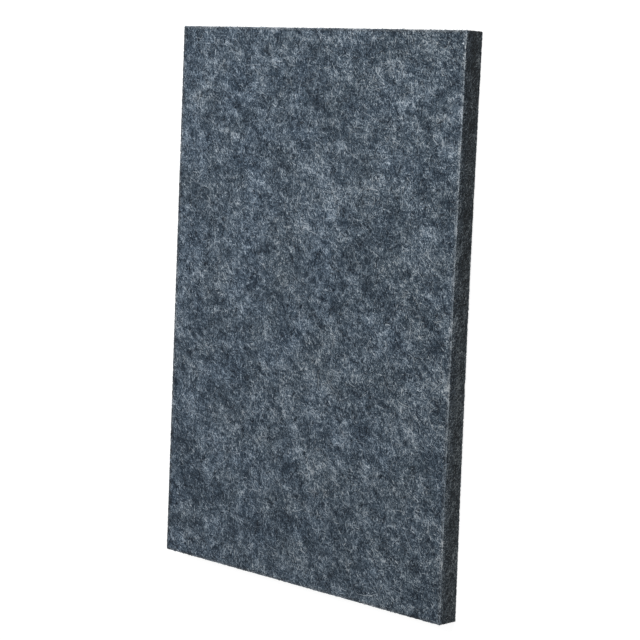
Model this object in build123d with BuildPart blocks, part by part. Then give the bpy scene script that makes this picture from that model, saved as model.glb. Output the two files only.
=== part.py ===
from build123d import *
import os

# Acoustic panel: one rigid board of needled and heat-pressed polyester felt, knife-cut to
# a sheet-paper format. It lies on its back face. X runs across the panel, Y along it and
# +Z out of the front face. The origin is the centre of the back face.

# Driving dimensions, in millimetres
panel_width = 210.0
panel_length = 297.0
panel_thickness = 12.0
corner_radius = 0.6  # plan corners, all but sharp, as the knife leaves them
front_arris_radius = 0.5  # the face fibres roll over a little where the knife goes in
back_arris_radius = 0.4  # and stay crisper where it comes out

with BuildPart() as felt_board:
    with BuildSketch(Plane.XY):
        RectangleRounded(panel_width, panel_length, corner_radius)
    extrude(amount=panel_thickness)
    front_face = felt_board.faces().sort_by(Axis.Z)[-1]
    fillet(front_face.edges(), front_arris_radius)
    back_face = felt_board.faces().sort_by(Axis.Z)[0]
    fillet(back_face.edges(), back_arris_radius)
felt_board.part.label = "felt_board"

os.makedirs("parts", exist_ok=True)
export_step(felt_board.part, "parts/felt_board.step")
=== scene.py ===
import math

import bpy
import numpy as np
from mathutils import Matrix, Vector

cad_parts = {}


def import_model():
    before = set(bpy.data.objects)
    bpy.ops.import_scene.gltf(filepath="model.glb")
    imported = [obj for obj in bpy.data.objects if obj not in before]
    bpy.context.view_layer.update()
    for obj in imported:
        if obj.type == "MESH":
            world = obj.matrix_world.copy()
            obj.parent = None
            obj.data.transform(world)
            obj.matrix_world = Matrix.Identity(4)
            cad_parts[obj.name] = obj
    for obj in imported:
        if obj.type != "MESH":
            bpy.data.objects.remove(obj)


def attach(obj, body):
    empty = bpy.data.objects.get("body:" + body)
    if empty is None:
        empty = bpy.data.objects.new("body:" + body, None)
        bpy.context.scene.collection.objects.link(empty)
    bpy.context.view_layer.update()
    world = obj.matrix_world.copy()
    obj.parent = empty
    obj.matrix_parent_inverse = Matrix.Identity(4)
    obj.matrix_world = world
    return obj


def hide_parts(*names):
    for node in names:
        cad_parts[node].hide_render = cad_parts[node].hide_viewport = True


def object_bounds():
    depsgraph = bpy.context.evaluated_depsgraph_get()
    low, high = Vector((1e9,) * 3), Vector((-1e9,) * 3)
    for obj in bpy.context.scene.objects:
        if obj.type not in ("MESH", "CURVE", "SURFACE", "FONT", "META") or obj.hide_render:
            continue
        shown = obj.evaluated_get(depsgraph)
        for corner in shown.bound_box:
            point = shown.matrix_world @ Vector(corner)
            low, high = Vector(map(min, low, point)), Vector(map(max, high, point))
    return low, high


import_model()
cad_low, cad_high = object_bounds()

# The board, in metres, from the frame: it lies on z = 0 with its front face up
MM = 0.001
WIDTH = cad_high.x - cad_low.x
LENGTH = cad_high.y - cad_low.y
THICKNESS = cad_high.z - cad_low.z
ARRIS = 0.5 * MM  # how far the rolled edge of a face reaches in
BOW = 1.0 * MM  # how far the middle of the right long edge has lifted, as the photograph shows

# The mesh of the board: its grid, and the rings round its rolled edges and its cut sides
COLUMNS = 160
ROWS = 226
GRID_STEP = WIDTH / COLUMNS
ARRIS_RINGS = 4
SIDE_RINGS = 9
MAP_GAP = 4 * MM  # between the parts of the board that are laid flat side by side

# The random relief of its skin: how deep each field is, its wavelength and its seed
FACE_COARSE = 0.07 * MM
FACE_COARSE_WAVE = 11 * MM
FACE_FINE = 0.035 * MM
FACE_FINE_WAVE = 4 * MM
FRONT_SEED = 11
BACK_SEED = 23
CUT_RELIEF = 0.05 * MM
CUT_WAVE = 3.2 * MM
CUT_SEED = 37
EDGE_WANDER = 0.025 * MM
EDGE_WAVE = 7 * MM
EDGE_SEED = 41
WAVE_SPREAD = 0.45  # how widely the wavelengths of a field scatter, as a share

BACK_LIFT = 0.2 * MM  # how far the fibres of the back hold its skin off the floor in its middle
LEAST_LIFT = 0.04 * MM  # the least that they hold it off, along its rim
LIFT_RUN = 3 * MM  # how far in from the rim the full lift begins

# How many strands a set of each kind has, and how many rings of three points a strand has
SHORT_STRANDS = 16000
FRONT_LONG_STRANDS = 780
BACK_LONG_STRANDS = 520
ARRIS_STRANDS = 4500
FUZZ_STRANDS = 3500
CUT_STRANDS = 7500
SHORT_RINGS = 2
LONG_RINGS = 6

# The form of a strand. Its rings move out towards its tips by a power of their place, its bend
# is centred, it tapers, and its section has two corners under its middle line and one over it
RING_POWER = 0.8
BEND_CENTRE = 0.4
TAPER = 0.45
FOOT = 0.5
RIDGE = 0.9

# The way the fibres tend to lie on a face and along a cut side, how far they stray from it,
# and the way the comb of the needles has drawn them into faint bands
LAY = math.radians(-64)
CUT_LAY = math.radians(-30)
LAY_SPREAD = math.radians(72)
COMB = math.radians(-31)

# A tone runs from 0, for the darkest fibre, to 1, for the lightest
LEAST_TONE = 0.02

# Painted shade on the cut: how much its tone falls from the board's near end to its far end, and how
# much more it would fall over a whole length at the rate of the far half
CUT_PAINTED_SHADE = 0.11
FAR_PAINTED_SHADE = 0.15

# Along the right edge the painted highlight fades from the first of these places to the second, in y
HIGHLIGHT_FADE_FROM = 0.15 * LENGTH
HIGHLIGHT_FADE_TO = -0.3 * LENGTH

# The tone of the strands on the rolled edges, with a highlight painted into it, as a share of what
# it is on the front's right edge: at the near end of that edge, on the front's far edge, and on all the
# others
NEAR_SHARE = 0.86
FAR_SHARE = 0.92
OTHER_SHARE = 0.75


# Random relief

def smooth_noise(rows, columns, spacing, wavelength, seed):
    """A random field of unit spread whose swells are about one wavelength wide."""
    white = np.random.default_rng(seed).standard_normal((rows, columns))
    down = np.fft.fftfreq(rows, spacing)[:, None]
    across = np.fft.fftfreq(columns, spacing)[None, :]
    pitch = np.hypot(down, across) * wavelength
    band = np.exp(-(((pitch - 1.0) / WAVE_SPREAD) ** 2))
    field = np.fft.ifft2(np.fft.fft2(white) * band).real
    return field / field.std()


def face_relief(seed):
    """How far each grid point of a face stands out, in metres."""
    size = (ROWS + 1, COLUMNS + 1, GRID_STEP)
    coarse = smooth_noise(*size, FACE_COARSE_WAVE, seed)
    fine = smooth_noise(*size, FACE_FINE_WAVE, seed + 1)
    return FACE_COARSE * coarse + FACE_FINE * fine


def bow(x, y):
    """The board's lift off the floor: none along its left, near and far edges."""
    return BOW * (x / WIDTH + 0.5) * (1 - (2 * y / LENGTH) ** 2)


def back_lift(x, y):
    """How far the fibres of the back hold its skin off the floor: least along the rim."""
    from_rim = np.minimum(WIDTH / 2 - np.abs(x), LENGTH / 2 - np.abs(y))
    return BACK_LIFT * np.clip(from_rim / LIFT_RUN, LEAST_LIFT / BACK_LIFT, 1)


# The board's mesh

def grid_axes():
    """The places of the grid lines, from the inner border of one rolled edge to the other."""
    x = np.linspace(-WIDTH / 2 + ARRIS, WIDTH / 2 - ARRIS, COLUMNS + 1)
    y = np.linspace(-LENGTH / 2 + ARRIS, LENGTH / 2 - ARRIS, ROWS + 1)
    return x, y


def border_indices():
    """Grid indices (row, column) once round a face, counter-clockwise from its near left corner."""
    near = [(0, column) for column in range(COLUMNS)]
    right = [(row, COLUMNS) for row in range(ROWS)]
    far = [(ROWS, column) for column in range(COLUMNS, 0, -1)]
    left = [(row, 0) for row in range(ROWS, 0, -1)]
    return np.array(near + right + far + left)


def border_normals(border):
    """The way out of the board at each border point; the corner points look along the diagonal."""
    out = np.zeros((len(border), 2))
    out[border[:, 1] == 0, 0] = -1
    out[border[:, 1] == COLUMNS, 0] = 1
    out[border[:, 0] == 0, 1] = -1
    out[border[:, 0] == ROWS, 1] = 1
    return out / np.linalg.norm(out, axis=1, keepdims=True)


def ring_profile():
    """(outward reach, height, how far it belongs to the cut) of each ring, from top to bottom."""
    lower = []
    for k in range(ARRIS_RINGS, 0, -1):
        angle = math.pi / 2 * k / ARRIS_RINGS
        lower.append((ARRIS * math.sin(angle), ARRIS * (1 - math.cos(angle)), k / ARRIS_RINGS))
    upper = [(reach, THICKNESS - height, share) for reach, height, share in reversed(lower)]
    side = []
    for k in range(1, SIDE_RINGS + 1):
        height = THICKNESS - ARRIS - (THICKNESS - 2 * ARRIS) * k / (SIDE_RINGS + 1)
        side.append((ARRIS, height, 1.0))
    return upper + side + lower


def linked_object(name, mesh):
    piece = bpy.data.objects.new(name, mesh)
    bpy.context.scene.collection.objects.link(piece)
    return piece


def mesh_object(name, points, faces, smooth=True):
    mesh = bpy.data.meshes.new(name)
    mesh.from_pydata(points.tolist(), [], faces)
    mesh.polygons.foreach_set("use_smooth", np.full(len(mesh.polygons), smooth))
    mesh.update()
    return linked_object(name, mesh)


def float_attribute(mesh, name, values):
    layer = mesh.attributes.new(name, "FLOAT", "POINT")
    layer.data.foreach_set("value", np.asarray(values, np.float32))


def flat_map(mesh, uv):
    """Gives a mesh the map that its material is baked to."""
    layer = mesh.uv_layers.new(name="OFBake")
    layer.data.foreach_set("uv", uv.astype(np.float32).ravel())


def board():
    """The skin: the front, the back, and the rings round the four cut sides between them."""
    x, y = grid_axes()
    grid_x, grid_y = np.meshgrid(x, y)
    front_relief = face_relief(FRONT_SEED)
    back_relief = np.maximum(back_lift(grid_x, grid_y) + face_relief(BACK_SEED), LEAST_LIFT)
    front = np.stack([grid_x, grid_y, THICKNESS + front_relief], -1).reshape(-1, 3)
    back = np.stack([grid_x, grid_y, back_relief], -1).reshape(-1, 3)

    border = border_indices()
    flat_border = border[:, 0] * (COLUMNS + 1) + border[:, 1]
    front_border = front_relief.ravel()[flat_border]
    back_border = back_relief.ravel()[flat_border]
    out = border_normals(border)
    profile = ring_profile()
    around = len(border)
    wobble = smooth_noise(len(profile), around, GRID_STEP, CUT_WAVE, CUT_SEED)

    # Of this field's two rows only the first is used
    edge_line = smooth_noise(2, around, GRID_STEP, EDGE_WAVE, EDGE_SEED)[0]
    rings = []
    cut = []
    for k, (reach, height, share) in enumerate(profile):
        blend = height / THICKNESS
        relief = front_border * blend + back_border * (1 - blend)
        push = reach + CUT_RELIEF * (wobble[k] * share - 1) + EDGE_WANDER * edge_line
        ring = np.empty((around, 3))
        ring[:, :2] = front[flat_border, :2] + out * push[:, None]
        ring[:, 2] = height + relief
        rings.append(ring)
        cut.append(np.full(around, share))

    points = np.concatenate([front, *rings, back])
    points[:, 2] += bow(points[:, 0], points[:, 1])
    face_points = len(front)

    corner = np.arange(face_points).reshape(ROWS + 1, COLUMNS + 1)
    quads = np.stack([corner[:-1, :-1], corner[:-1, 1:], corner[1:, 1:], corner[1:, :-1]], -1)
    quads = quads.reshape(-1, 4)
    back_start = face_points + around * len(profile)
    loops = [flat_border]
    loops += [face_points + k * around + np.arange(around) for k in range(len(profile))]
    loops.append(flat_border + back_start)
    side_quads = []
    for upper, lower in zip(loops, loops[1:]):
        side_quads.append(np.stack([upper, lower, np.roll(lower, -1), np.roll(upper, -1)], -1))
    faces = np.concatenate([quads, *side_quads, quads[:, ::-1] + back_start])
    piece = mesh_object("felt_board_skin", points, faces.tolist())
    face_cut = np.zeros(face_points)
    float_attribute(piece.data, "cut", np.concatenate([face_cut, *cut, face_cut]))

    # The first material is the face's; the cut's begins halfway round each rolled edge
    ring_is_cut = np.ones(len(profile) + 1, bool)
    ring_is_cut[: ARRIS_RINGS // 2] = False
    ring_is_cut[-(ARRIS_RINGS // 2) :] = False
    is_cut = np.zeros(len(faces), np.int32)
    is_cut[len(quads) : -len(quads)] = np.repeat(ring_is_cut, around)
    piece.data.polygons.foreach_set("material_index", is_cut)
    board_map(piece.data, len(quads), around, len(profile))
    return piece


def board_map(mesh, face_quads, around, rings):
    """Lays the front, the back and the four cut sides flat, side by side, at one scale."""
    sheet = 2 * WIDTH + 3 * MAP_GAP
    points = np.empty(len(mesh.vertices) * 3)
    mesh.vertices.foreach_get("co", points)
    points = points.reshape(-1, 3)
    loop_points = np.empty(len(mesh.loops), np.int64)
    mesh.loops.foreach_get("vertex_index", loop_points)
    place = points[loop_points]
    uv = np.empty((len(loop_points), 2))
    face_loops = face_quads * 4
    sides_end = len(loop_points) - face_loops
    front = slice(0, face_loops)
    back = slice(sides_end, len(loop_points))
    sides = slice(face_loops, sides_end)
    uv[front] = place[front, :2] + (MAP_GAP + WIDTH / 2, MAP_GAP + LENGTH / 2)
    uv[back] = place[back, :2] * (-1, 1) + (2 * MAP_GAP + 1.5 * WIDTH, MAP_GAP + LENGTH / 2)

    # A side's quads come ring by ring, each once round the board
    starts = np.cumsum([0, COLUMNS, ROWS, COLUMNS, ROWS])
    quad_place = np.tile(np.arange(around), rings + 1)
    side = np.searchsorted(starts, quad_place, side="right") - 1
    side = np.repeat(side, 4)
    along = np.where(side % 2 == 0, place[sides, 0] + WIDTH / 2, place[sides, 1] + LENGTH / 2)
    uv[sides, 0] = along + MAP_GAP
    uv[sides, 1] = place[sides, 2] + LENGTH + 2 * MAP_GAP + side * (THICKNESS + MAP_GAP)
    flat_map(mesh, uv / sheet)


# Strands: closed, three-sided, pointed at both ends

class Strands:
    """Many strands, each with its middle, its direction, the surface's way out, and its form."""

    def __init__(self, origin, heading, normal, length, width, bend, lift, sink, tone, cut=0.0):
        self.origin = origin
        self.heading = heading
        self.normal = normal
        count = len(origin)
        self.length, self.width, self.bend, self.lift, self.sink, self.tone, self.cut = (
            np.broadcast_to(value, count) for value in (length, width, bend, lift, sink, tone, cut)
        )


def joined(*groups):
    """Several groups of strands as one."""
    parts = ("origin", "heading", "normal", "length", "width", "bend", "lift", "sink", "tone", "cut")
    return Strands(*(np.concatenate([getattr(group, part) for group in groups]) for part in parts))


def strand_piece(name, strands, rings):
    """One mesh of all the strands. Each arches over its middle and dips into the felt at its tips."""
    count = len(strands.origin)
    reach = np.linspace(-1, 1, rings + 2)
    t = (np.sign(reach) * np.abs(reach) ** RING_POWER)[None, :]
    side = np.cross(strands.normal, strands.heading)
    along = t * strands.length[:, None] / 2
    across = strands.bend[:, None] * strands.length[:, None] * (t**2 - BEND_CENTRE) / 2
    height = strands.lift[:, None] * (1 - t**2) - strands.sink[:, None] * t**4
    spine = (
        strands.origin[:, None]
        + along[..., None] * strands.heading[:, None]
        + across[..., None] * side[:, None]
        + height[..., None] * strands.normal[:, None]
    )
    tangent = unit(np.gradient(spine, axis=1))
    lateral = unit(np.cross(strands.normal[:, None], tangent))
    crown = np.cross(tangent, lateral)
    half = (strands.width[:, None] / 2 * (1 - TAPER * t**2))[..., None]
    corners = [
        spine + half * (lateral - FOOT * crown),
        spine - half * (lateral + FOOT * crown),
        spine + RIDGE * half * crown,
    ]
    ring_points = np.stack(corners, axis=2)[:, 1:-1].reshape(count, -1, 3)
    points = np.concatenate([ring_points, spine[:, :1], spine[:, -1:]], axis=1)
    each = points.shape[1]

    # A strand that would reach through the floor is moved up until it only touches it
    points[..., 2] += np.maximum(-points[..., 2].min(axis=1, keepdims=True), 0)

    pattern = np.array(strand_pattern(rings))
    triangles = pattern[None] + each * np.arange(count)[:, None, None]
    mesh = bpy.data.meshes.new(name)
    fill_triangles(mesh, points.reshape(-1, 3), triangles.reshape(-1, 3))
    float_attribute(mesh, "tone", np.repeat(strands.tone, each))
    float_attribute(mesh, "cut", np.repeat(strands.cut, each))
    strand_map(mesh, pattern, rings, count)
    return linked_object(name, mesh)


def strand_pattern(rings):
    """The triangles of one strand, whose points are its rings of three and then its two tips."""
    last_ring = 3 * (rings - 1)
    first_tip = 3 * rings
    last_tip = first_tip + 1
    pattern = []
    for corner in range(3):
        beside = (corner + 1) % 3
        pattern.append((first_tip, beside, corner))
        for ring in range(0, last_ring, 3):
            after = ring + 3
            pattern.append((ring + corner, ring + beside, after + beside))
            pattern.append((ring + corner, after + beside, after + corner))
        pattern.append((last_tip, last_ring + corner, last_ring + beside))
    return pattern


def fill_triangles(mesh, points, triangles):
    mesh.vertices.add(len(points))
    mesh.vertices.foreach_set("co", points.astype(np.float32).ravel())
    mesh.loops.add(triangles.size)
    mesh.loops.foreach_set("vertex_index", triangles.astype(np.int32).ravel())
    mesh.polygons.add(len(triangles))
    mesh.polygons.foreach_set("loop_start", np.arange(0, triangles.size, 3, dtype=np.int32))
    mesh.polygons.foreach_set("use_smooth", np.ones(len(triangles), bool))
    mesh.update(calc_edges=True)


def strand_map(mesh, pattern, rings, count):
    """Gives every strand a small cell of its own, so that it keeps its own colour."""
    cells = math.ceil(math.sqrt(count))
    station = np.concatenate([np.repeat(np.arange(1, rings + 1), 3), [0, rings + 1]])
    round_it = np.concatenate([np.tile(np.arange(3), rings), [1, 1]])
    u_start = 0.2
    u_span = 0.6
    v_start = 0.3
    v_step = 0.2
    u = u_start + u_span * station[pattern] / (rings + 1)
    v = v_start + v_step * round_it[pattern]
    cell = np.arange(count)
    uv = np.empty((count, *pattern.shape, 2))
    uv[..., 0] = ((cell % cells)[:, None, None] + u) / cells
    uv[..., 1] = ((cell // cells)[:, None, None] + v) / cells
    flat_map(mesh, uv)


def unit(vectors):
    return vectors / np.linalg.norm(vectors, axis=-1, keepdims=True)


def random_sizes(rng, count, least, shape, scale):
    """Sizes in metres, from millimetres: a least size, and a random rest with a long tail."""
    return (least + rng.gamma(shape, scale, count)) * MM


def mixed_tones(rng, count, light_share, light, dark, spread):
    """A tone for each strand: that of light fibre or of dark fibre, with a spread about it."""
    is_light = rng.random(count) < light_share
    tone = np.where(is_light, light, dark) + rng.normal(scale=spread, size=count)
    return np.clip(tone, LEAST_TONE, 1.0)


def face_strands(count, seed, front, length, width, lift, tone):
    """Strands lying on a face in every direction, inside its rim but for what their bend adds."""
    rng = np.random.default_rng(seed)
    margin = 0.3 * MM
    turn = LAY + rng.uniform(-LAY_SPREAD, LAY_SPREAD, count) + rng.normal(scale=0.3, size=count)
    room_x = WIDTH / 2 - np.abs(np.cos(turn)) * length / 2 - margin
    room_y = LENGTH / 2 - np.abs(np.sin(turn)) * length / 2 - margin
    x = rng.uniform(-1, 1, count) * room_x
    y = rng.uniform(-1, 1, count) * room_y
    z = (THICKNESS if front else back_lift(x, y)) + bow(x, y)
    origin = np.stack([x, y, z], -1)
    heading = np.stack([np.cos(turn), np.sin(turn), np.zeros(count)], -1)
    normal = np.tile([0.0, 0.0, 1.0 if front else -1.0], (count, 1))
    bend = rng.normal(scale=0.32, size=count)
    return Strands(origin, heading, normal, length, width, bend, lift, sink=0.2 * MM, tone=tone)


def short_strands(seed, front):
    rng = np.random.default_rng(seed)
    count = SHORT_STRANDS
    length = random_sizes(rng, count, least=1.2, shape=3.0, scale=0.55)
    width = random_sizes(rng, count, least=0.15, shape=4.0, scale=0.05)
    lift = random_sizes(rng, count, least=0.02, shape=2.0, scale=0.03)
    tone = mixed_tones(rng, count, light_share=0.56, light=0.70, dark=0.14, spread=0.14)
    return face_strands(count, seed + 1, front, length, width, lift, tone)


def long_strands(seed, front, count):
    rng = np.random.default_rng(seed)
    length = random_sizes(rng, count, least=5.0, shape=3.0, scale=1.8)
    width = random_sizes(rng, count, least=0.12, shape=3.0, scale=0.03)
    lift = random_sizes(rng, count, least=0.08, shape=2.0, scale=0.06)
    tone = mixed_tones(rng, count, light_share=0.8, light=0.80, dark=0.22, spread=0.08)
    return face_strands(count, seed + 1, front, length, width, lift, tone)


def rim_sites(rng, count, inset):
    """Random places once round the board: the point, the way along the edge and the way out."""
    sides = [
        ((-WIDTH / 2, -LENGTH / 2), (1, 0), WIDTH),
        ((WIDTH / 2, -LENGTH / 2), (0, 1), LENGTH),
        ((WIDTH / 2, LENGTH / 2), (-1, 0), WIDTH),
        ((-WIDTH / 2, LENGTH / 2), (0, -1), LENGTH),
    ]
    starts, ways, spans = (np.array(part, float) for part in zip(*sides))
    pick = rng.choice(len(sides), count, p=spans / spans.sum())
    way = ways[pick]
    out = np.stack([way[:, 1], -way[:, 0]], -1)
    room = 0.6 * MM
    reach = room + rng.random(count) * (spans[pick] - 2 * room)
    return starts[pick] + way * reach[:, None] - out * inset, way, out


def in_space(flat, height):
    return np.concatenate([flat, np.broadcast_to(height, len(flat))[:, None]], axis=1)


def rim_origin(spot, height):
    return in_space(spot, height + bow(spot[:, 0], spot[:, 1]))


def rim_heading(way, normal, turn):
    """The way along the edge, turned about the way out of the surface."""
    along = in_space(way, 0.0)
    turn = turn[:, None]
    return np.cos(turn) * along + np.sin(turn) * np.cross(normal, along)


def arris_strands(seed):
    """Strands along the rolled edges of both faces; a highlight is painted on those at the front's right
    and far ones.
    """
    rng = np.random.default_rng(seed)
    count = ARRIS_STRANDS
    front_share = 0.65
    front_height = THICKNESS - 0.15 * MM
    back_height = 0.25 * MM
    spot, way, out = rim_sites(rng, count, inset=0.22 * MM)
    on_front = rng.random(count) < front_share
    normal = unit(in_space(out, np.where(on_front, 1.0, -1.0)))
    heading = rim_heading(way, normal, rng.normal(scale=0.55, size=count))
    origin = rim_origin(spot, np.where(on_front, front_height, back_height))
    length = random_sizes(rng, count, least=0.9, shape=3.0, scale=0.35)
    width = random_sizes(rng, count, least=0.12, shape=3.0, scale=0.05)
    lift = random_sizes(rng, count, least=0.02, shape=2.0, scale=0.02)
    tone = mixed_tones(rng, count, light_share=0.7, light=0.88, dark=0.40, spread=0.10)
    # Painted highlight: lightest along the front's right edge, fading towards its near end, a little less
    # along the far edge
    is_right_edge = on_front & (out[:, 0] > 0.5)
    is_far_edge = on_front & (out[:, 1] > 0.5)
    fade = np.interp(spot[:, 1], [HIGHLIGHT_FADE_TO, HIGHLIGHT_FADE_FROM], [NEAR_SHARE, 1.0])
    tone = tone * np.select([is_right_edge, is_far_edge], [fade, FAR_SHARE], OTHER_SHARE)
    bend = rng.normal(scale=0.15, size=count)
    return Strands(origin, heading, normal, length, width, bend, lift, sink=0.12 * MM, tone=tone)


def cut_strands(seed):
    """Short fibre ends combed along the cut sides."""
    rng = np.random.default_rng(seed)
    count = CUT_STRANDS
    margin = 0.9 * MM
    least_slope = 0.2
    spot, way, out = rim_sites(rng, count, inset=0.05 * MM)
    normal = in_space(out, 0.0)
    turn = rng.normal(loc=-0.5, scale=0.7, size=count)
    heading = rim_heading(way, normal, turn)
    height = rng.uniform(margin, THICKNESS - margin, count)
    length = random_sizes(rng, count, least=0.7, shape=3.0, scale=0.3)

    # The steeper one lies, the sooner it would reach past the top or the bottom of the cut
    room = 2 * np.minimum(height, THICKNESS - height)
    length = np.minimum(length, room / np.maximum(np.abs(np.sin(turn)), least_slope))
    width = random_sizes(rng, count, least=0.10, shape=3.0, scale=0.04)
    lift = random_sizes(rng, count, least=0.0, shape=2.0, scale=0.02)
    far = spot[:, 1] / LENGTH
    tone = mixed_tones(rng, count, light_share=0.6, light=0.76, dark=0.2, spread=0.12)
    # Painted shade: the cut strands are made darker towards the board's far end
    tone = tone - CUT_PAINTED_SHADE * far - FAR_PAINTED_SHADE * np.maximum(far, 0)
    bend = rng.normal(scale=0.25, size=count)
    origin = rim_origin(spot, height)
    return Strands(origin, heading, normal, length, width, bend, lift, sink=0.15 * MM, tone=tone, cut=1.0)


def fuzz_strands(seed):
    """Fine loose ends that stand out of the cut and its edges, by about a millimetre at most."""
    rng = np.random.default_rng(seed)
    count = FUZZ_STRANDS
    lowest = 0.3 * MM
    highest = THICKNESS - 0.15 * MM
    spot, way, out = rim_sites(rng, count, inset=0.1 * MM)
    height = THICKNESS * rng.beta(a=0.9, b=0.7, size=count)
    height = np.clip(height, lowest, highest)
    slope = rng.normal(scale=0.35, size=count)
    outward = rng.uniform(low=0.1, high=0.45, size=count)
    aside = out * outward[:, None] + way * rng.choice([-1, 1], count)[:, None]
    heading = unit(in_space(aside, slope))
    normal = unit(np.cross(heading, np.cross(in_space(out, 0.0), heading)))
    length = random_sizes(rng, count, least=0.6, shape=2.0, scale=0.3)
    width = random_sizes(rng, count, least=0.05, shape=2.0, scale=0.015)
    tone = mixed_tones(rng, count, light_share=0.6, light=0.72, dark=0.35, spread=0.12)
    bend = rng.normal(scale=0.3, size=count)
    origin = rim_origin(spot, height)
    return Strands(origin, heading, normal, length, width, bend, lift=0.0, sink=0.0, tone=tone, cut=0.5)


# Node trees

class Nodes:
    """Adds nodes to one tree: node() returns the new node, and the other calls what it gives out."""

    def __init__(self, tree):
        self.tree = tree
        tree.nodes.clear()

    def node(self, kind, inputs=(), **settings):
        made = self.tree.nodes.new(kind)
        for key, value in settings.items():
            setattr(made, key, value)
        for key, value in dict(inputs).items():
            if isinstance(value, bpy.types.NodeSocket):
                self.tree.links.new(value, made.inputs[key])
            elif value is not None:
                made.inputs[key].default_value = value
        return made

    def math(self, operation, a, b=None, c=None):
        return self.node("ShaderNodeMath", {0: a, 1: b, 2: c}, operation=operation).outputs[0]

    def scaled(self, part, strength):
        return self.math("MULTIPLY", part, strength)

    def plus(self, base, part, strength):
        """The base, and the part times its strength on top."""
        return self.math("MULTIPLY_ADD", part, strength, base)

    def centred(self, part, strength):
        """A part that runs from 0 to 1, moved to lie about zero, times its strength."""
        return self.plus(-strength / 2, part, strength)

    def vector(self, operation, a, b=None, scale=None):
        inputs = {0: a, 1: b} if scale is None else {0: a, "Scale": scale}
        return self.node("ShaderNodeVectorMath", inputs, operation=operation).outputs[0]

    def point(self, x, y, z=None):
        return self.node("ShaderNodeCombineXYZ", {0: x, 1: y, 2: z}).outputs[0]

    def parts(self, place):
        """The x, the y and the z of a place."""
        return self.node("ShaderNodeSeparateXYZ", {0: place}).outputs

    def turned(self, place, angle):
        inputs = {"Vector": place, "Angle": angle}
        return self.node("ShaderNodeVectorRotate", inputs, rotation_type="Z_AXIS").outputs[0]

    def stretched(self, place, share):
        """The place with its x times the share: a share below 1 draws a pattern out along x."""
        return self.vector("MULTIPLY", place, (share, 1.0, 1.0))

    def object_place(self):
        return self.node("ShaderNodeTexCoord").outputs["Object"]

    def attribute(self, name):
        return self.node("ShaderNodeAttribute", attribute_name=name).outputs["Fac"]

    def noise(self, place, size, detail=2.0, roughness=0.5, distortion=0.0):
        inputs = {
            "Vector": place,
            "Scale": 1 / size,
            "Detail": detail,
            "Roughness": roughness,
            "Distortion": distortion,
        }
        return self.node("ShaderNodeTexNoise", inputs).outputs["Fac"]

    def push(self, place, size, detail, strength):
        """A random push at each place, which changes over about the size given."""
        inputs = {"Vector": place, "Scale": 1 / size, "Detail": detail}
        way = self.node("ShaderNodeTexNoise", inputs).outputs["Color"]
        return self.vector("SCALE", way, scale=strength)

    def spread(self, value, low, high, to_low=0.0, to_high=1.0):
        """The value, eased from one pair of limits to the other; low may lie above high."""
        inputs = {"Value": value, "From Min": low, "From Max": high, "To Min": to_low, "To Max": to_high}
        return self.node("ShaderNodeMapRange", inputs, interpolation_type="SMOOTHSTEP").outputs[0]

    def ramp(self, value, stops):
        made = self.node("ShaderNodeValToRGB", {"Fac": value})
        band = made.color_ramp.elements
        while len(band) < len(stops):
            band.new(0.5)
        for element, (place, colour) in zip(band, stops):
            element.position = place
            element.color = (*colour, 1)
        return made.outputs["Color"]

    def mix(self, share, a, b, blend="MIX"):
        # The node's inputs 6 and 7 are the two colours, and its output 2 is the mixed one
        inputs = {0: share, 6: a, 7: b}
        return self.node("ShaderNodeMix", inputs, data_type="RGBA", blend_type=blend).outputs[2]

    def seen(self):
        """1 for what the camera sees, also in gloss and through glass, and otherwise 0."""
        path = self.node("ShaderNodeLightPath").outputs
        seen = self.math("MAXIMUM", path["Is Camera Ray"], path["Is Glossy Ray"])
        return self.math("MAXIMUM", seen, path["Is Transmission Ray"])


# The colours of the tones, and the wash of hue over them
FELT_TONES = [
    (0.0, (0.003, 0.009, 0.018)),
    (0.3, (0.029, 0.048, 0.070)),
    (0.5, (0.077, 0.107, 0.140)),
    (0.75, (0.208, 0.256, 0.305)),
    (1.0, (0.45, 0.50, 0.55)),
]
CUT_TONES = [
    (0.0, (0.002, 0.004, 0.005)),
    (0.4, (0.024, 0.033, 0.041)),
    (0.7, (0.079, 0.096, 0.109)),
    (1.0, (0.25, 0.28, 0.29)),
]
HUE_WASH = [
    (0.3, (0.97, 1.005, 1.05)),
    (0.5, (1.0, 1.0, 1.0)),
    (0.7, (1.025, 1.0, 0.965)),
]
HUE_DRIFT = 0.0011  # towards the warmer end, for each millimetre towards the right

# Shifts that are large enough for no two fields of noise to look alike
WIDE_SHIFT = (520.0, 230.0, 0.0)
FINE_SHIFT = (310.0, 70.0, 0.0)
HUE_SHIFT = (90.0, 410.0, 0.0)

# A painted streak: how far it can bend, how strong the weakest one is, how wide its full core is,
# as a share of its width, and where along it, in cells, it has ended and where it is still full
MOST_BEND = 1.2
LEAST_STREAK = 0.3
STREAK_CORE = 0.2
STREAK_END = 0.62
STREAK_FULL = 0.3

# How wide the square is, in cells, within which a dark streak lies at random about its light one,
# and the factor that makes a new random value of two others
DARK_ASIDE = 0.7
RESHUFFLE = 7.3

# The heights at which a point counts as none of the front's and as all of it
NOT_FRONT = 0.4 * THICKNESS
ALL_FRONT = 0.6 * THICKNESS

RIM_HIGHLIGHT_NEAR_SHARE = 0.62  # how much of the right rim's painted highlight there is at the near end
END_WEIGHT = 1.5  # how much farther off than a side a near or far end counts

# The weakest painted highlight along the rolled right edge, as a share of the strongest
LEAST_RIM_HIGHLIGHT = 0.3

# The cut: the height of its core in millimetres, what its patches start from, and how much darker
# the fibre is that has been dragged over it from the front
CORE_HEIGHT = THICKNESS / MM * 0.6
PATCH_BASE = -0.51
DRAGGED_LOSS = 0.13

GRAIN_BASE = -0.29  # what the tone of a face starts from


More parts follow.
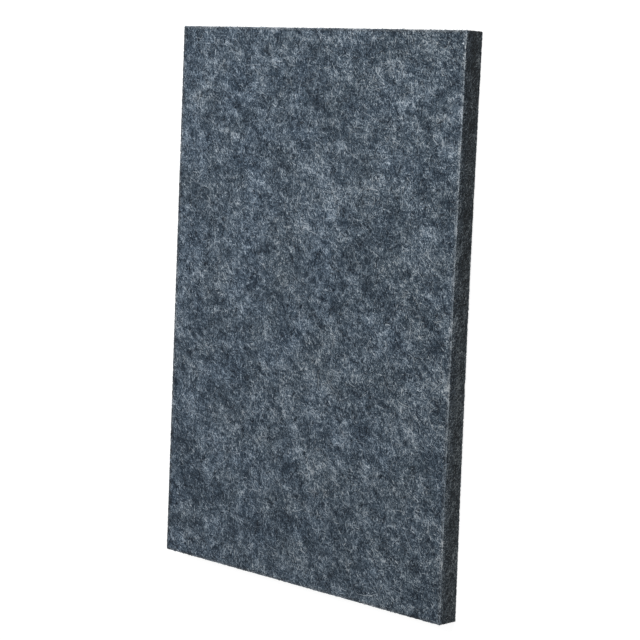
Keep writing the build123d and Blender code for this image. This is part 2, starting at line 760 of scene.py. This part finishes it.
def cell_streak(n, lay, offset, chances, half_width):
    """One bent streak through the middle of a cell, fading at its sides and its ends.

    The chances are random values from 0 to 1, for its direction, its bend and its strength.
    """
    for_turn, for_bend, for_strength = chances
    turn = n.plus(-lay - LAY_SPREAD, for_turn, strength=2 * LAY_SPREAD)
    bend = n.plus(-MOST_BEND, for_bend, strength=2 * MOST_BEND)
    strength = n.plus(LEAST_STREAK, for_strength, strength=1 - LEAST_STREAK)
    along, across, _ = n.parts(n.turned(offset, turn))
    curve = n.math("MULTIPLY", n.math("MULTIPLY", along, along), bend)
    away = n.math("ABSOLUTE", n.math("ADD", across, curve))
    core = n.spread(away, low=half_width, high=n.scaled(half_width, strength=STREAK_CORE))
    ends = n.spread(n.math("ABSOLUTE", along), low=STREAK_END, high=STREAK_FULL)
    return n.math("MULTIPLY", n.math("MULTIPLY", core, ends), strength)


def strand_group(lay):
    """A light and a dark streak to a cell, each with its own direction, bend and strength."""
    tree = bpy.data.node_groups.new("Streaks", "ShaderNodeTree")
    kinds = {"Vector": "Vector", "Cell": "Float", "Width": "Float", "Shift": "Vector"}
    for name, kind in kinds.items():
        tree.interface.new_socket(name, in_out="INPUT", socket_type="NodeSocket" + kind)
    for name in ("Light", "Dark"):
        tree.interface.new_socket(name, in_out="OUTPUT", socket_type="NodeSocketFloat")
    n = Nodes(tree)
    given = n.node("NodeGroupInput").outputs
    cell = given["Cell"]
    place = n.vector("DIVIDE", given["Vector"], n.point(cell, cell, cell))
    place = n.vector("ADD", place, given["Shift"])
    inputs = {"Vector": place, "Scale": 1.0, "Randomness": 1.0}
    cells = n.node("ShaderNodeTexVoronoi", inputs, voronoi_dimensions="2D").outputs
    red, green, blue = n.node("ShaderNodeSeparateColor", {0: cells["Color"]}).outputs
    offset = n.vector("SUBTRACT", place, cells["Position"])
    half_width = n.math("DIVIDE", given["Width"], cell)
    light = cell_streak(n, lay, offset, (red, green, blue), half_width)

    aside = n.point(n.math("SUBTRACT", blue, 0.5), n.math("SUBTRACT", green, 0.5))
    offset = n.vector("ADD", offset, n.vector("SCALE", aside, scale=DARK_ASIDE))
    other = n.math("FRACT", n.math("MULTIPLY", n.math("ADD", red, blue), RESHUFFLE))
    dark = cell_streak(n, lay, offset, (other, blue, green), half_width)
    n.node("NodeGroupOutput", {0: light, 1: dark})
    return tree


def streaks(n, group, place, layers, cell, width, seed):
    """The strongest light streak and the strongest dark one of several layers at each point."""
    rng = np.random.default_rng(seed)
    light = dark = None
    for _ in range(layers):
        inputs = {
            "Shift": tuple(rng.uniform(low=5, high=95, size=3)),
            "Cell": cell * rng.uniform(low=0.8, high=1.25),
            "Width": width * rng.uniform(low=0.75, high=1.3),
            "Vector": place,
        }
        one, other = n.node("ShaderNodeGroup", inputs, node_tree=group).outputs
        light = one if light is None else n.math("MAXIMUM", light, one)
        dark = other if dark is None else n.math("MAXIMUM", dark, other)
    return light, dark


def place_mm(n):
    return n.vector("SCALE", n.object_place(), scale=1 / MM)


def face_place(n):
    """The point in millimetres, as it is on a face, with no height."""
    return n.vector("MULTIPLY", place_mm(n), (1.0, 1.0, 0.0))


def cut_place(n):
    """The point in millimetres, unrolled round the cut sides: along them and up."""
    x, y, z = n.parts(place_mm(n))
    return n.point(n.math("ADD", x, y), z)


def clouds(n, place):
    """Patches where light or dark fibre has gathered, millimetres to centimetres across.

    What they add to the tone lies about zero.
    """
    wide = n.noise(n.vector("ADD", place, WIDE_SHIFT), size=45.0, detail=1.0)
    turned = n.turned(place, -COMB)
    coarse = n.stretched(turned, share=0.68)
    coarse = n.noise(coarse, size=10.5, roughness=0.6, distortion=0.6)
    fine = n.stretched(n.vector("ADD", place, FINE_SHIFT), share=0.85)
    fine = n.noise(fine, size=4.0, detail=3.0, roughness=0.66, distortion=0.8)
    combed = n.vector("ADD", turned, n.push(place, size=30.0, detail=1.0, strength=24.0))
    combed = n.stretched(combed, share=0.15)
    combed = n.noise(combed, size=2.4, detail=3.0, roughness=0.6, distortion=0.3)
    combed = n.math("SUBTRACT", combed, 0.5)
    combed = n.math("MULTIPLY", combed, n.math("ABSOLUTE", combed))
    total = n.centred(wide, strength=0.3)
    for layer, strength in ((coarse, 0.80), (fine, 1.0)):
        total = n.math("ADD", total, n.centred(layer, strength))
    return n.plus(total, combed, strength=5.0)


def rims(n):
    """How near a point is to the front's right rim, to its far rim, and to any rim.

    The right and far rims mark a painted highlight; the right one counts for less towards the near end.
    """
    x, y, z = n.parts(n.object_place())
    front = n.spread(z, low=NOT_FRONT, high=ALL_FRONT)
    right = n.spread(n.math("SUBTRACT", WIDTH / 2, x), low=3.6 * MM, high=0.1 * MM)
    right = n.math("MULTIPLY", right, front)
    thinned = n.spread(y, low=HIGHLIGHT_FADE_TO, high=HIGHLIGHT_FADE_FROM, to_low=RIM_HIGHLIGHT_NEAR_SHARE)
    right = n.math("MULTIPLY", right, thinned)
    far = n.spread(n.math("SUBTRACT", LENGTH / 2, y), low=2.4 * MM, high=0.4 * MM)
    far = n.math("MULTIPLY", far, front)
    from_side = n.math("SUBTRACT", WIDTH / 2, n.math("ABSOLUTE", x))
    from_end = n.math("SUBTRACT", LENGTH / 2, n.math("ABSOLUTE", y))
    from_rim = n.math("MINIMUM", from_side, n.math("MULTIPLY", from_end, END_WEIGHT))
    return right, far, n.spread(from_rim, low=3.2 * MM, high=0.3 * MM)


def tinted(n, place, colour):
    """A slow, faint drift between bluer and warmer grey, bluer towards the left."""
    hue = n.noise(n.vector("ADD", place, HUE_SHIFT), size=30.0, roughness=0.6)
    across = n.parts(place)[0]
    hue = n.plus(hue, across, strength=HUE_DRIFT)
    return n.mix(1.0, colour, n.ramp(hue, HUE_WASH), blend="MULTIPLY")


def rough_cloth(n, colour, height, bump_distance):
    inputs = {"Height": height, "Strength": 0.8, "Distance": bump_distance}
    normal = n.node("ShaderNodeBump", inputs).outputs[0]
    return n.node(
        "ShaderNodeBsdfPrincipled",
        {
            "Base Color": colour,
            "Roughness": 0.92,
            "Specular IOR Level": 0.25,
            "Sheen Weight": 0.12,
            "Sheen Roughness": 0.45,
            "Normal": normal,
        },
    ).outputs[0]


def new_material(name):
    material = bpy.data.materials.new(name)
    material.use_nodes = True
    return material, Nodes(material.node_tree)


def face_material():
    """The front and the back: light and dark fibre streaks over a fine grain, in soft clouds."""
    material, n = new_material("felt_face")
    group = strand_group(LAY)
    place = face_place(n)
    wandering = n.vector("ADD", place, n.push(place, size=2.5, detail=2.0, strength=1.6))
    light, dark = streaks(n, group, wandering, layers=7, cell=1.8, width=0.25, seed=3)
    grain = n.noise(wandering, size=0.75, detail=3.0, roughness=0.7, distortion=0.5)
    tone = n.plus(GRAIN_BASE, grain, strength=1.15)
    tone = n.math("ADD", tone, clouds(n, place))
    tone = n.plus(tone, light, strength=0.56)
    tone = n.plus(tone, dark, strength=-0.52)

    # Painted highlight along the right edge, stronger in some places than others, and a faint one
    # along the far edge, where the rolled edges would catch the light
    right, far, near_rim = rims(n)
    ragged_highlight = n.noise(place, size=11.0, detail=3.0, roughness=0.65)
    ragged_highlight = n.spread(ragged_highlight, low=0.38, high=0.6)
    tone = n.plus(tone, n.math("MULTIPLY", right, ragged_highlight), strength=0.26)
    tone = n.plus(tone, far, strength=0.09)
    rolled = n.spread(n.attribute("cut"), low=0.0, high=0.3)
    rolled = n.math("MULTIPLY", rolled, n.plus(LEAST_RIM_HIGHLIGHT, ragged_highlight, strength=1 - LEAST_RIM_HIGHLIGHT))
    tone = n.plus(tone, n.math("MULTIPLY", rolled, right), strength=0.45)
    colour = tinted(n, place, n.ramp(tone, FELT_TONES))
    grey = n.node("ShaderNodeRGBToBW", {0: colour}).outputs[0]
    greyness = n.plus(n.scaled(near_rim, strength=0.5), right, strength=-0.25)
    colour = n.mix(greyness, colour, grey)
    height = n.math("ADD", n.plus(grain, light, strength=0.8), n.scaled(dark, strength=-0.5))
    shader = rough_cloth(n, colour, height, bump_distance=0.12 * MM)
    n.node("ShaderNodeOutputMaterial", {"Surface": shader})
    return material


def cut_material():
    """The cut sides: darker, with open pores and short fibre ends combed one way by the knife."""
    material, n = new_material("felt_cut")
    group = strand_group(CUT_LAY)
    place = cut_place(n)
    wandering = n.vector("ADD", place, n.push(place, size=2.0, detail=2.0, strength=1.2))
    light, dark = streaks(n, group, wandering, layers=6, cell=1.9, width=0.25, seed=9)
    pores = n.noise(wandering, size=0.9, detail=3.0, roughness=0.7, distortion=0.4)
    patches = n.stretched(place, share=0.6)
    patches = n.noise(patches, size=4.5, detail=3.0, roughness=0.6, distortion=0.5)
    height = n.parts(place)[1]
    from_core = n.math("ABSOLUTE", n.math("SUBTRACT", height, CORE_HEIGHT))
    tone = n.centred(pores, strength=1.9)
    tone = n.math("ADD", tone, n.plus(PATCH_BASE, patches, strength=1.5))
    tone = n.plus(tone, light, strength=0.70)
    tone = n.plus(tone, dark, strength=-0.52)
    tone = n.plus(tone, n.spread(from_core, low=1.5, high=6.5), strength=0.13)
    tone = n.plus(tone, n.spread(height, low=8.0, high=10.0), strength=0.04)
    # Painted shade: the cut is made darker towards the board's far end
    y = n.parts(n.object_place())[1]
    tone = n.plus(tone, y, strength=-CUT_PAINTED_SHADE / LENGTH)
    tone = n.plus(tone, n.math("MAXIMUM", y, 0.0), strength=-FAR_PAINTED_SHADE / LENGTH)

    # Fibre of the front face has been dragged down over the top of the cut
    dragged = n.spread(height, low=5.0, high=THICKNESS / MM, to_high=0.45)
    cut_colour = n.ramp(tone, CUT_TONES)
    face_colour = n.ramp(n.math("SUBTRACT", tone, DRAGGED_LOSS), FELT_TONES)
    colour = n.mix(dragged, cut_colour, face_colour)
    relief = n.plus(pores, light, strength=0.6)
    shader = rough_cloth(n, colour, relief, bump_distance=0.18 * MM)
    n.node("ShaderNodeOutputMaterial", {"Surface": shader})
    return material


def strand_material():
    """The strands: each has a tone of its own, and on a face the clouds move it."""
    material, n = new_material("loose_fibre")
    place = face_place(n)
    own = n.attribute("tone")
    tone = n.math("ADD", own, clouds(n, place))
    speck = n.noise(place, size=0.35, roughness=0.6)
    tone = n.plus(tone, n.math("SUBTRACT", speck, 0.5), strength=0.2)
    face_colour = tinted(n, place, n.ramp(tone, FELT_TONES))
    cut = n.attribute("cut")
    colour = n.mix(cut, face_colour, n.ramp(own, CUT_TONES))
    shader = rough_cloth(n, colour, speck, bump_distance=0.03 * MM)
    n.node("ShaderNodeOutputMaterial", {"Surface": shader})
    return material


# Floor, light and camera

FLOOR_REACH = 12.0  # how far it runs each way, in metres
FLOOR_DROP = 0.02 * MM  # how far it lies under the board
FLOOR_COLOUR = 0.62  # how it lights the board
FLOOR_SHADED = 0.24  # the part of what the camera sees of it that takes the shadow
FLOOR_WHITE = 0.905  # and the part that doesn't
ROOM_LIGHT = 0.4  # how strong the light from all round is


def plain_grey(level):
    return (level, level, level, 1)


def floor():
    """A pale floor that keeps the shadow and looks white to the camera."""
    corners = ((-1, -1), (1, -1), (1, 1), (-1, 1))
    points = np.array([(x * FLOOR_REACH, y * FLOOR_REACH, -FLOOR_DROP) for x, y in corners])
    piece = mesh_object("floor", points, [(0, 1, 2, 3)], smooth=False)
    material, n = new_material("pale_floor")
    seen = n.seen()
    pale = n.node("ShaderNodeBsdfDiffuse", {"Color": plain_grey(FLOOR_COLOUR)}).outputs[0]
    shaded = n.node("ShaderNodeBsdfDiffuse", {"Color": plain_grey(FLOOR_SHADED)}).outputs[0]
    white = n.node("ShaderNodeEmission", {"Color": plain_grey(FLOOR_WHITE)}).outputs[0]
    shown = n.node("ShaderNodeAddShader", {0: shaded, 1: white}).outputs[0]
    both = n.node("ShaderNodeMixShader", {0: seen, 1: pale, 2: shown}).outputs[0]
    n.node("ShaderNodeOutputMaterial", {"Surface": both})
    piece.data.materials.append(material)


def world():
    """Soft light from all round, and white for the camera."""
    made = bpy.data.worlds.new("soft_room")
    bpy.context.scene.world = made
    made.use_nodes = True
    n = Nodes(made.node_tree)
    seen = n.seen()
    room = n.node("ShaderNodeBackground", {"Color": plain_grey(1), "Strength": ROOM_LIGHT}).outputs[0]
    white = n.node("ShaderNodeBackground", {"Color": plain_grey(1), "Strength": 1.0}).outputs[0]
    both = n.node("ShaderNodeMixShader", {0: seen, 1: room, 2: white}).outputs[0]
    n.node("ShaderNodeOutputWorld", {"Surface": both})


def area_lamp(name, place, aim, size, power):
    lamp = bpy.data.lights.new(name, "AREA")
    lamp.shape = "RECTANGLE"
    lamp.size, lamp.size_y = size
    lamp.energy = power
    piece = linked_object(name, lamp)
    piece.location = place
    piece.rotation_euler = (Vector(aim) - Vector(place)).to_track_quat("-Z", "Y").to_euler()


def camera():
    """The photograph's camera, solved from the panel's outline. The shift is the photograph's crop."""
    place = Vector((0.7948, 0.1209, 0.7955))
    aim = Vector((0.0099, 0.0226, 0.0120))
    picture_up = Vector((-0.0907, 0.9953, -0.0341))
    back = (place - aim).normalized()
    right = picture_up.cross(back).normalized()
    up = back.cross(right)
    data = bpy.data.cameras.new("photo_camera")
    data.lens = 119.1
    data.sensor_width = 36.0
    data.shift_y = -0.08
    piece = linked_object("photo_camera", data)
    piece.matrix_world = Matrix.Translation(place) @ Matrix((right, up, back)).transposed().to_4x4()
    bpy.context.scene.camera = piece


bpy.context.scene.view_settings.view_transform = "Standard"
camera()
floor()
world()
area_lamp("key", place=(0.08, 0.47, 0.72), aim=(0.04, 0.15, 0), size=(0.6, 0.6), power=6.7)

fibre = strand_material()

skin = board()
skin.data.materials.append(face_material())
skin.data.materials.append(cut_material())
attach(skin, "root")
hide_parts("felt_board")

for name, strands, rings in (
    ("front_fibres_a", short_strands(seed=101, front=True), SHORT_RINGS),
    ("front_fibres_b", short_strands(seed=111, front=True), SHORT_RINGS),
    ("back_fibres", short_strands(seed=121, front=False), SHORT_RINGS),
    (
        "edge_fibres",
        joined(arris_strands(seed=131), cut_strands(seed=141), fuzz_strands(seed=151)),
        SHORT_RINGS,
    ),
    (
        "long_fibres",
        joined(
            long_strands(seed=161, front=True, count=FRONT_LONG_STRANDS),
            long_strands(seed=171, front=False, count=BACK_LONG_STRANDS),
        ),
        LONG_RINGS,
    ),
):
    piece = strand_piece(name, strands, rings)
    piece.data.materials.append(fibre)
    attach(piece, "root")
